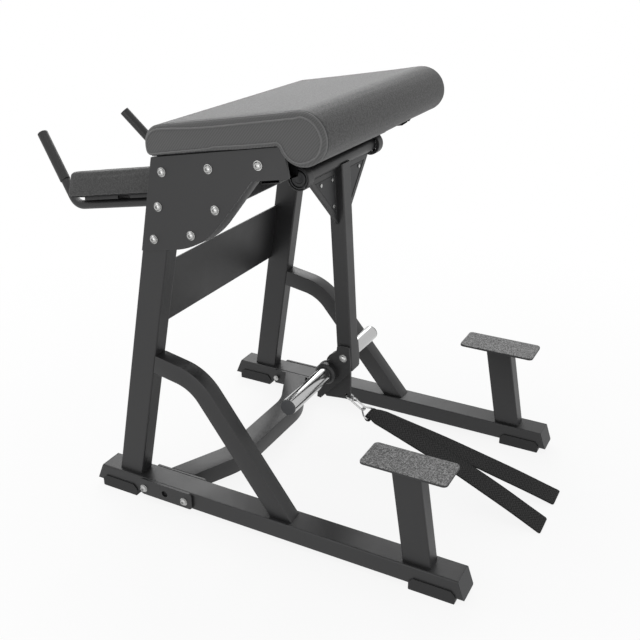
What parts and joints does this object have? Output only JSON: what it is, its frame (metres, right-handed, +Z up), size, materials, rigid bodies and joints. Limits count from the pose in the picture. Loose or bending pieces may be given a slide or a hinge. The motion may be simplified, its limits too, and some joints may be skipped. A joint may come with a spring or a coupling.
{
  "type": "reverse hyperextension machine",
  "caption": "Floor-standing reverse hyperextension bench with a padded table, a swinging weight pendulum, ankle straps, handles and foot plates.",
  "frame": {"origin": "middle of the machine's bounding box, on the floor", "axes": "+X runs from the handles towards the foot plates and the straps' ends, +Z up, +Y to the side seen on the right"},
  "size_m": [1.6766, 0.952, 1.2608],
  "materials": {
    "powder_coat": "satin powder coat",
    "moulded_black": "moulded, matte",
    "rubber_black": "matte, moulded",
    "grip_sheet": "speckled, gritty",
    "zinc_steel": "zinc plated",
    "bearing_steel": "ground",
    "chrome": "polished",
    "upholstery": "pebbled leatherette",
    "plywood": "bare plywood",
    "webbing": "woven webbing"
  },
  "bodies": {
    "frame": {"floor_rails": "powder_coat", "rail_end_caps": "moulded_black", "rubber_shoes": "rubber_black", "base_cross_tube": "powder_coat", "inner_flange_plates": "powder_coat", "outer_clamp_plates": "powder_coat", "base_bolts": "zinc_steel", "uprights": "powder_coat", "lower_braces": "powder_coat", "foot_posts": "powder_coat", "foot_plates": "powder_coat", "grip_sheets": "grip_sheet", "head_side_tubes": "powder_coat", "upper_braces": "powder_coat", "side_plates": "powder_coat", "side_bolts": "zinc_steel", "rear_panel": "powder_coat", "head_cross_beam": "powder_coat", "handle_beam": "powder_coat", "pad_mount_plates": "powder_coat", "main_pad_board": "plywood", "main_pad": "upholstery", "pivot_stub_tubes": "powder_coat", "bearing_housings": "powder_coat", "bearing_outer_rings": "bearing_steel", "bearing_balls": "bearing_steel", "bearing_caps": "moulded_black", "handle_tubes": "powder_coat", "hand_grips": "rubber_black", "grip_end_plugs": "moulded_black", "pad_tabs": "powder_coat", "forearm_boards": "plywood", "forearm_pads": "upholstery"},
    "pendulum": {"bearing_inner_rings": "bearing_steel", "pivot_shaft": "bearing_steel", "pivot_tube": "powder_coat", "pendulum_arm": "powder_coat", "pendulum_gussets": "powder_coat", "gusset_covers": "moulded_black", "gusset_screws": "zinc_steel", "horn_brackets": "powder_coat", "horn_collars": "powder_coat", "bracket_bolt": "zinc_steel", "weight_horn": "chrome", "horn_end_caps": "moulded_black", "strap_lug": "powder_coat"},
    "hook": {"lug_shackle": "chrome", "hook_body": "chrome"},
    "gate": {"hook_gate": "chrome"},
    "straps": {"strap_ring": "chrome", "ankle_strap_left": "webbing", "ankle_strap_right": "webbing"}
  },
  "joints": [
    {"name": "pendulum_swing", "type": "hinge", "parent": "frame", "child": "pendulum", "pos_m": [0.12401, 0, 1.048], "axis": [0, 1, 0], "range_deg": [-80, 35]},
    {"name": "hook_swing", "type": "hinge", "parent": "pendulum", "child": "hook", "pos_m": [0.16101, 0, 0.276], "axis": [0, 1, 0], "range_deg": [-45, 40]},
    {"name": "gate_swing", "type": "hinge", "parent": "hook", "child": "gate", "pos_m": [0.19523, 0, 0.26452], "axis": [0, 1, 0], "range_deg": [0, 25], "stiffness_Nm_per_rad": 0.02, "springref_deg": -11.46},
    {"name": "strap_swing", "type": "hinge", "parent": "hook", "child": "straps", "pos_m": [0.21851, 0, 0.24007], "axis": [0, 1, 0], "range_deg": [-45, 45]}
  ]
}
